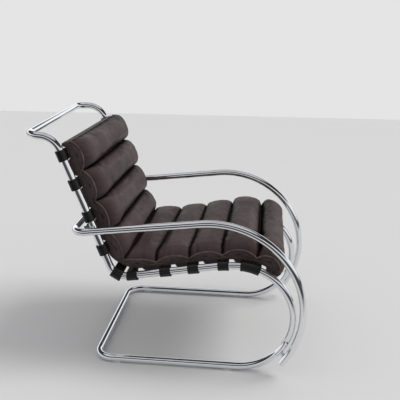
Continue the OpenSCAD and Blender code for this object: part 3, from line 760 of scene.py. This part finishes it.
def mark_painted_shade(piece, values):
    """Stores how much shade is painted on each point, for the leather's colour; points past the given
    values get the most.
    """
    attribute = piece.data.attributes.new("painted_shade", "FLOAT", "POINT")
    full = np.ones(len(piece.data.vertices), np.float32)
    full[:values.size] = values.ravel()
    attribute.data.foreach_set("value", full)


brown_leather = cushion_leather()
strap_places = np.array([row[1] for row in straps])
strap_halves = np.array([row[2] / 2 for row in straps])
pad_half_w = 0.2655
pad_lip = 0.010
pad_end_in = 0.001
pad_round = 0.004
pad_end_share = 0.6
pad_swell = 0.0045
pad_waves = [(0.029, 0.0187, 0.0113), (0.0007, 0.0006, 0.0004)]
pad_shade = 0.2
pad_rows = 330
pad_columns = 48
pad_edge_rows = 14
belly_reach = 0.005
belly_middle = 0.4
belly_places = [0, 0.40, 0.46, 0.53, 0.56, 0.96]
belly_depths = [0.012, 0.011, 0.002, 0.003, 0.0115, 0.0125]


def belly(t, x):
    """How far the underside hangs between two straps: it falls away from a strap's edge as
    1 - exp(-(gap / 5 mm) ^ 2), least round the rear corner."""
    place = askew(t, x)
    gap = np.min(np.abs(place[..., None] - strap_places) - strap_halves, axis=-1)
    depth = np.interp(place, belly_places, belly_depths)
    onset = 1 - np.exp(-(np.maximum(gap, 0) / belly_reach) ** 2)
    return depth * (belly_middle + (1 - belly_middle) * (x / pad_half_w) ** 2) * onset


def pad_rings():
    """A bent slab: its top is flat under the rolls, its sides swell between their welts with upright
    puckers, its ends are rounded, and its underside bellies down between the straps."""
    first = seams[0] + pad_end_in
    last = seams[-1] + pad_lip
    t = np.concatenate([first + pad_round * (1 - np.cos(np.linspace(0.3, 1.57, 5))),
                        np.linspace(first + 2 * pad_round, last - 2 * pad_round, pad_rows),
                        last - pad_round * (1 - np.cos(np.linspace(1.57, 0.3, 5)))])
    end = np.clip(1 - np.minimum(t - first, last - t) / pad_round, 0, 1)
    rise = np.sqrt(1 - end ** 2)[:, None]
    v = np.linspace(-1, 1, pad_columns)
    edge = np.linspace(1, 0, pad_edge_rows)[1:-1]
    puckers = waves(t[:, None] + 0.004 * edge[None], *pad_waves, (0.4, 1.9, 4.1))
    swell = (pad_swell + puckers) * np.sin(np.pi * edge[None]) ** 0.6
    swell_left = swell[:, ::-1] + 0.0004 * np.sin(t[:, None] / 0.004)
    flat = v[None] * pad_half_w + 0 * t[:, None]
    x = np.concatenate([flat, pad_half_w + swell, -flat, -pad_half_w - swell_left], 1)
    low = pad_low - belly(t[:, None], v[None] * pad_half_w)
    high = pad_top + 0 * low
    up = low[:, -1:] + (pad_top - low[:, -1:]) * edge[None]
    up_left = low[:, :1] + (pad_top - low[:, :1]) * edge[None, ::-1]
    n = np.concatenate([high, up, low[:, ::-1], up_left], 1)
    middle_n = (pad_low + pad_top) / 2
    n = middle_n + (n - middle_n) * (pad_end_share + (1 - pad_end_share) * rise)
    return lay_cushion(t[:, None], n, x)


pad_mesh = surface_mesh("cushion_layer", pad_rings())
pad = make_piece("cushion_layer", pad_mesh, brown_leather)
# The lower layer takes one even amount of the same attribute, which darkens and dulls it all alike.
mark_painted_shade(pad, np.full(len(pad.data.vertices), pad_shade))
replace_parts(pad, "cushion_pad")

# Nine stuffed rolls are sewn across that layer, four on the back and five on the seat. Their leather
# is cut a little long, and the stuffing presses it out between the seams, which leaves small folds.
seam_gap = 0.0012
section_share = 0.78
end_square = 15
arch_power = 2.4
front_lean = 0.22
end_rises = [0.022] * 4 + [0.017, 0.017, 0.018, 0.020, 0.024]
roll_rows = 132
roll_columns = 54
loose_reach = 0.07
cloth_steps = 15
smooth_passes = 4
press_limit = 0.006
cloth_values = {
    "quality": 6, "mass": 0.35, "air_damping": 2, "use_pressure": True, "uniform_pressure_force": 3,
    "tension_stiffness": 20, "compression_stiffness": 20, "shear_stiffness": 10, "bending_stiffness": 5,
    "shrink_min": -0.004, "shrink_max": -0.024, "vertex_group_mass": "sewn", "vertex_group_shrink": "loose",
}
drift_waves = [(0.21, 0.13), (0.004, 0.003)]
fan_waves = [(0.0262, 0.0177, 0.0121), (0.0007, 0.0006, 0.0003)]
fan_reach = 0.026
pucker_waves = [(0.037, 0.021, 0.0137), (0.0006, 0.0005, 0.0003)]
pucker_reach = 0.012
swell_waves = [(0.34, 0.19, 0.11), (0.0009, 0.0007, 0.0004)]
fold_count = 6
fold_reaches = (0.05, 0.16)
fold_starts = (-0.6, 0.6)
fold_slopes = (-4, 4)
fold_depth = 0.0010
fold_half_w = 0.0045
fold_onset = 0.02
fold_sideways = 0.6
underside_in = 0.018
underside_columns = 26
panel_shares = np.array([0.25, 0.55, 0.8, 0.95])[:, None]
panel_shades = np.array([0.1, 0.1, 0.2, 0.5])[:, None]
panel_swell = 0.003
shade_from = (0.32, 0.14)
shade_span = 0.5
end_shade_reach = 0.024
end_shade_depth = 0.35
roll_lofts = [back_loft + (top_loft - back_loft) * share for share in back_rise_shares]
roll_lofts += [seat_loft + (front_loft - seat_loft) * share for share in seat_rise_shares]


def box_section(columns):
    """The section of a roll is a rounded box: places across it, from -1 to 1, are cos(a) ^ 0.78 with the
    sign of cos(a), and heights, from 0 to 1, are sin(a) ^ 0.78."""
    a = np.linspace(np.pi, 0, columns)
    return np.sign(np.cos(a)) * np.abs(np.cos(a)) ** section_share, np.sin(a) ** section_share


def sewn_roll(number):
    """The leather of one roll as it is cut, laid flat: path length, place across and height. Its height
    falls towards each side as sqrt(1 - v ^ 15), down to the arch of the welt, which is
    1 - across ^ 2.4. The front roll leans back."""
    low = seams[number]
    high = seams[number + 1]
    crest = pad_low + roll_lofts[number] - roll_low - tuck_h
    v = np.sin(np.linspace(-np.pi / 2, np.pi / 2, roll_rows))[:, None]
    fall = np.sqrt(np.clip(1 - np.abs(v) ** end_square, 0, 1))
    across, height = box_section(roll_columns)
    arch = 1 - np.abs(across) ** arch_power
    if number == 8:
        height = height * (1 - front_lean * across)
    half = (high - low - seam_gap) / 2
    t = (low + high) / 2 + half * across + 0 * v
    x = roll_half_w * v + 0 * t
    n = roll_low + tuck_h + crest * height * fall + end_rises[number] * arch * (1 - fall)
    return np.stack([t, x, n], -1)


def press_out(sheets):
    """Cloth simulation: each sheet is held along its seams and welts, its leather is let out by a few
    per cent, most near its sides, and a steady pressure swells it. Ripples finer than the mesh can carry
    are averaged out, and a point moves 6 mm at most."""
    count, rows, columns = sheets.shape[:3]
    grid = grid_faces(rows, columns, False, False)
    faces = (grid[None] + (np.arange(count) * rows * columns)[:, None, None]).reshape(-1, 4)
    mesh = bpy.data.meshes.new("rolls_in_work")
    mesh.from_pydata(sheets.reshape(-1, 3).tolist(), [], faces.tolist())
    work = add_object("rolls_in_work", mesh)
    order = np.arange(count * rows * columns).reshape(count, rows, columns)
    held = np.concatenate([order[:, [0, -1]].ravel(), order[:, :, [0, -1]].ravel()])
    work.vertex_groups.new(name="sewn").add(held.tolist(), 1.0, "REPLACE")
    loose = work.vertex_groups.new(name="loose")
    inside = roll_half_w - np.abs(sheets[0, :, 0, 1])
    share = np.clip(1 - inside / loose_reach, 0, 1)
    for row in range(rows):
        loose.add(order[:, row].ravel().tolist(), float(share[row]), "REPLACE")
    cloth = work.modifiers.new("cloth", "CLOTH")
    for setting, value in cloth_values.items():
        setattr(cloth.settings, setting, value)
    cloth.settings.effector_weights.gravity = 0
    cloth.collision_settings.use_collision = False
    scene = bpy.context.scene
    for step in range(1, cloth_steps + 1):
        scene.frame_set(step)
    settled = work.evaluated_get(bpy.context.evaluated_depsgraph_get())
    co = np.zeros(count * rows * columns * 3, np.float32)
    settled.data.vertices.foreach_get("co", co)
    scene.frame_set(1)
    bpy.data.objects.remove(work)
    bpy.data.meshes.remove(mesh)
    move = co.reshape(sheets.shape) - sheets
    for _ in range(smooth_passes):
        move[:, 1:-1] = (move[:, :-2] + 2 * move[:, 1:-1] + move[:, 2:]) / 4
    length = np.linalg.norm(move, axis=-1, keepdims=True)
    return sheets + move * np.minimum(1, press_limit / np.maximum(length, 1e-9))


def fold_marks(number, sheet):
    """Heights of the small folds on one roll: fans and single folds that run in from the welts and fade
    towards the middle, puckers that run out of the seams, and long soft swells."""
    random = np.random.default_rng(40 + number)
    phases = random.uniform(0, 2 * np.pi, 12)
    height = box_section(roll_columns)[1]
    t = sheet[..., 0]
    x = sheet[..., 1]
    inside = roll_half_w - np.abs(x)
    drift = waves(x, *drift_waves, phases[:2])
    fans = waves(t + drift, *fan_waves, phases[2:5]) * np.exp(-inside / fan_reach) * height
    half = (seams[number + 1] - seams[number]) / 2
    from_middle = t - (seams[number + 1] + seams[number]) / 2
    puckers = waves(x + 0.3 * t, *pucker_waves, phases[5:8])
    puckers = puckers * np.exp(-(half - np.abs(from_middle)) / pucker_reach) * (1 - height ** 6)
    swells = waves(x, *swell_waves, phases[8:11]) * height
    folds = 0
    for k in range(fold_count):
        side = -1 if k % 2 else 1
        reach = random.uniform(*fold_reaches)
        start = random.uniform(*fold_starts)
        slope = random.uniform(*fold_slopes)
        away = from_middle - half * (start + slope * inside)
        strength = np.clip(1 - inside / reach, 0, 1) * (np.sign(x) == side)
        folds = folds - fold_depth * strength * np.exp(-(away / fold_half_w) ** 2)
    return fans + puckers + swells + folds * height


def close_roll(number, sheet):
    """Closes a roll: the sheet carried over to a flat underside, and at each end a half-moon panel that
    swells by 3 mm. Gives the rings and how much shade is painted on each point: most at the seams, reaching
    further up on the side that faces the rear corner, some towards the roll ends, and set amounts on the
    end panels."""
    low = seams[number]
    high = seams[number + 1]
    t, x, n = sheet[..., 0], sheet[..., 1], sheet[..., 2]
    share = 2 * (t - low) / (high - low) - 1
    push = fold_marks(number, sheet)
    height = np.clip((n - roll_low - tuck_h) / fold_onset, 0, 1)
    t = np.clip(t + push * share * fold_sideways, low + seam_gap / 2, high - seam_gap / 2)
    n = np.maximum(n + push * height, roll_low)
    edge = 1 - underside_in / (high - low)
    tuck = np.linspace(edge, -edge, underside_columns)[None]
    floor_t = (low + high) / 2 + (high - low - seam_gap) / 2 * tuck + 0 * x[:, :1]
    floor_n = np.full(floor_t.shape, roll_low)
    t = np.concatenate([t, floor_t], 1)
    x = np.concatenate([x, x[:, :1] + 0 * floor_t], 1)
    n = np.concatenate([n, floor_n], 1)
    swell = panel_swell * np.sqrt(1 - panel_shares ** 2)
    middle_t = (low + high) / 2
    middle_n = roll_low + 0.4 * end_rises[number] + 0.002
    panels = [(middle_t + (t[k] - middle_t) * panel_shares, x[k] + np.sign(x[k]) * swell,
               middle_n + (n[k] - middle_n) * panel_shares) for k in (0, -1)]
    t, x, n = [np.concatenate([panels[0][k], sheet_part, panels[1][k][::-1]])
               for k, sheet_part in enumerate((t, x, n))]
    # Painted shade: dark in the seams and up the flanks that face the rear corner, lighter towards the
    # crest, darker again towards the roll ends, and set amounts on the end panels.
    across, level = box_section(roll_columns)
    from_level = np.where((across > 0) == (number < 4), *shade_from)
    rise = np.clip(np.concatenate([level - from_level, 0 * floor_t[0]]) / shade_span, 0, 1)
    seam_shade = 1 - rise ** 2 * (3 - 2 * rise)
    near_end = np.clip(1 - (roll_half_w - np.abs(x)) / end_shade_reach, 0, 1)
    depth = 1 - (1 - seam_shade[None]) * (1 - end_shade_depth * near_end ** 0.7)
    depth[:4] = panel_shades
    depth[-4:] = panel_shades[::-1]
    return lay_cushion(t, n, x), depth


roll_names = ["back_roll_%d" % k for k in range(1, 5)] + ["seat_roll_%d" % k for k in range(1, 6)]
sheets = np.stack([sewn_roll(number) for number in range(9)])
sheets = press_out(sheets)
for number, name in enumerate(roll_names):
    rings, depth = close_roll(number, sheets[number])
    roll_mesh = surface_mesh(name + "_leather", rings)
    roll = make_piece(name + "_leather", roll_mesh, brown_leather)
    mark_painted_shade(roll, depth)
    smooth = roll.modifiers.new("smooth", "SUBSURF")
    smooth.levels = 1
    smooth.render_levels = 1
    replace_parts(roll, name)

# Round welts of the same leather finish every edge: one follows the arches of the rolls on each side,
# and two run round the lower layer, at its top and its foot.
arch_welt_r = 0.0029
edge_welt_r = 0.0019
welt_corner_r = 0.008
welt_sides = 12
rib_depth = 0.05
rings_per_rib = 3.1
arch_spacing = 0.0016
arch_in = 0.001
edge_spacing = 0.0018
rear_edge_in = 0.0015
front_edge_in = 0.0005
top_welt_drop = 0.0012
top_welt_out = 0.0022
foot_welt_out = 0.0012


def welt_leather():
    """The same hide cut on the bias and rubbed browner, with the ribs of its stitches."""
    material, tree, shader = new_finish("welt_leather", (0.075, 0.042, 0.033, 1), 0.0, 0.38)
    rubbed = add_noise(tree, 45, 4)
    brown = drifting_color(tree, rubbed, 0.38, (0.052, 0.037, 0.034, 1), 0.66, (0.118, 0.080, 0.066, 1))
    tree.links.new(brown, shader.inputs["Base Color"])
    grain = add_noise(tree, 800, 4)
    add_bump(tree, shader, grain, 0.00015)
    set_roughness(tree, shader, grain, 0.3, 0.48)
    return material


def welt_mesh(name, line, radius, closed):
    """A round cord along a line in the chair's space, with faint ribs where its stitches pull."""
    if closed:
        ahead = np.roll(line, -1, 0) - np.roll(line, 1, 0)
    else:
        ahead = np.gradient(line, axis=0)
    ahead /= np.linalg.norm(ahead, axis=1)[:, None]
    up = np.cross(ahead, np.array([1.0, 0.02, 0.01]))
    weak = np.linalg.norm(up, axis=1) < 0.3
    up[weak] = np.cross(ahead[weak], np.array([0.0, 1.0, 0.3]))
    up /= np.linalg.norm(up, axis=1)[:, None]
    ribs = np.sin(np.arange(len(line)) * 2 * np.pi / rings_per_rib)
    rings = rings_round(line, ahead, up, radius * (1 + rib_depth * ribs), welt_sides)
    return surface_mesh(name, rings, closed)


def arch_line(side):
    """The welt over the roll ends on one side: an arch of height 1 - across ^ 2.4 over each roll."""
    pieces = []
    for number in range(9):
        half = (seams[number + 1] - seams[number]) / 2
        away = (half - arch_in) * box_section(40)[0]
        n = roll_low + tuck_h + end_rises[number] * (1 - (np.abs(away) / half) ** arch_power)
        pieces.append(np.stack([seams[number] + half + away, n], 1))
    line = even_line(np.concatenate(pieces), arch_spacing, 2)
    return lay_cushion(line[:, 0], line[:, 1], np.full(len(line), side * roll_half_w))


def edge_line(height, outset):
    """The outline of the lower layer at one height, as a closed line with rounded corners."""
    t0 = seams[0] + rear_edge_in
    t1 = seams[-1] + pad_lip - front_edge_in
    w = pad_half_w + outset
    r = welt_corner_r
    a = np.linspace(0, np.pi / 2, 8)
    rise = r * np.sin(a)
    fall = r * np.cos(a)
    corners = [(t1 - r + rise, -w + r - fall), (t1 - r + fall, w - r + rise),
               (t0 + r - rise, w - r + fall), (t0 + r - fall, -w + r - rise)]
    corners = np.concatenate([np.stack(corner, 1) for corner in corners])
    line = even_line(corners, edge_spacing, 2, closed=True)
    hang = belly(line[:, 0], line[:, 1]) if height < pad_low + pad_t / 2 else 0
    return lay_cushion(line[:, 0], height - hang + 0 * line[:, 0], line[:, 1])


join_meshes("cushion_welts", [
    welt_mesh("arch_welt", arch_line(-1), arch_welt_r, False),
    welt_mesh("arch_welt", arch_line(1), arch_welt_r, False),
    welt_mesh("top_welt", edge_line(pad_top - top_welt_drop, top_welt_out), edge_welt_r, True),
    welt_mesh("foot_welt", edge_line(pad_low + edge_welt_r, foot_welt_out), edge_welt_r, True),
], welt_leather())

# A plain pale studio: a light grey floor, a pale background, and a wide lamp overhead in front, which
# throws soft shadows. Only mirrored rays see the world's light and dark bands and the floor's near part,
# painted dark as a painted reflection, which give the chrome its lines.
half_floor = 4.5
floor_color = (0.66, 0.66, 0.665, 1)
unlit_color = (0.03, 0.03, 0.034, 1)
unlit_from = -0.75
unlit_to = -1.1


def coordinate(tree, space, axis):
    """One coordinate of the point or direction that is shaded."""
    split = tree.nodes.new("ShaderNodeSeparateXYZ")
    tree.links.new(tree.nodes.new("ShaderNodeTexCoord").outputs[space], split.inputs["Vector"])
    return split.outputs[axis]


def floor_finish():
    """Matt pale grey floor with a very faint unevenness. For mirrored rays only, its near part is painted
    dark: a painted reflection of the unlit side of a studio."""
    material, tree, shader = new_finish("pale_floor", floor_color, 0.0, 0.6)
    faint = add_noise(tree, 1.5, 3)
    set_roughness(tree, shader, faint, 0.5, 0.7)
    # Painted reflection: the near part turns dark in glossy rays only.
    unlit = remap(tree, coordinate(tree, "Object", "X"), 1.0, 0.0, unlit_to, unlit_from)
    in_metal = tree.nodes.new("ShaderNodeMath")
    in_metal.operation = "MULTIPLY"
    tree.links.new(unlit, in_metal.inputs[0])
    tree.links.new(tree.nodes.new("ShaderNodeLightPath").outputs["Is Glossy Ray"], in_metal.inputs[1])
    color = blend(tree, in_metal.outputs["Value"], floor_color, unlit_color)
    tree.links.new(color, shader.inputs["Base Color"])
    return material


floor_mesh = bpy.data.meshes.new("floor")
floor_mesh.from_pydata([(-half_floor, -half_floor, 0), (half_floor, -half_floor, 0),
                        (half_floor, half_floor, 0), (-half_floor, half_floor, 0)], [], [(0, 1, 2, 3)])
floor_mesh.materials.append(floor_finish())
studio_floor = add_object("floor", floor_mesh)

world = bpy.data.worlds.new("studio")
bpy.context.scene.world = world
world.use_nodes = True
sky_tree = world.node_tree
sky = sky_tree.nodes["Background"]
sky_height = remap(sky_tree, coordinate(sky_tree, "Generated", "Z"), 0.0, 1.0, -1.0, 1.0)
sky_bands = [(0.49, 0.1), (0.53, 1.1), (0.66, 1.2), (0.70, 0.05), (0.88, 0.05), (0.91, 0.85), (0.975, 0.8)]
band_colors = [(position, (level * 0.98, level * 0.99, level * 1.02, 1)) for position, level in sky_bands]
bands = drifting_color(sky_tree, sky_height, 0.0, (0.6, 0.6, 0.61, 1), 1.0, (0.42, 0.43, 0.45, 1),
                       band_colors)
side_light = remap(sky_tree, coordinate(sky_tree, "Generated", "X"), 0.62, 1.0, -1.0, 1.0)
rays = sky_tree.nodes.new("ShaderNodeLightPath")
mirrored = blend(sky_tree, 1.0, bands, side_light, "MULTIPLY")
lit = blend(sky_tree, rays.outputs["Is Diffuse Ray"], mirrored, (0.64, 0.64, 0.645, 1))
seen = blend(sky_tree, rays.outputs["Is Camera Ray"], lit, (0.78, 0.78, 0.785, 1))
sky_tree.links.new(seen, sky.inputs["Color"])
sky.inputs["Strength"].default_value = 1.0

sun_data = bpy.data.lights.new("overhead", "SUN")
sun_data.energy = 1.7
sun_data.angle = math.radians(30)
sun_data.color = (1.0, 0.98, 0.95)
sun = add_object("overhead", sun_data)
sun.rotation_euler = Vector((-0.1, 0.6, -0.8)).to_track_quat("-Z", "Y").to_euler()
sun.visible_glossy = False
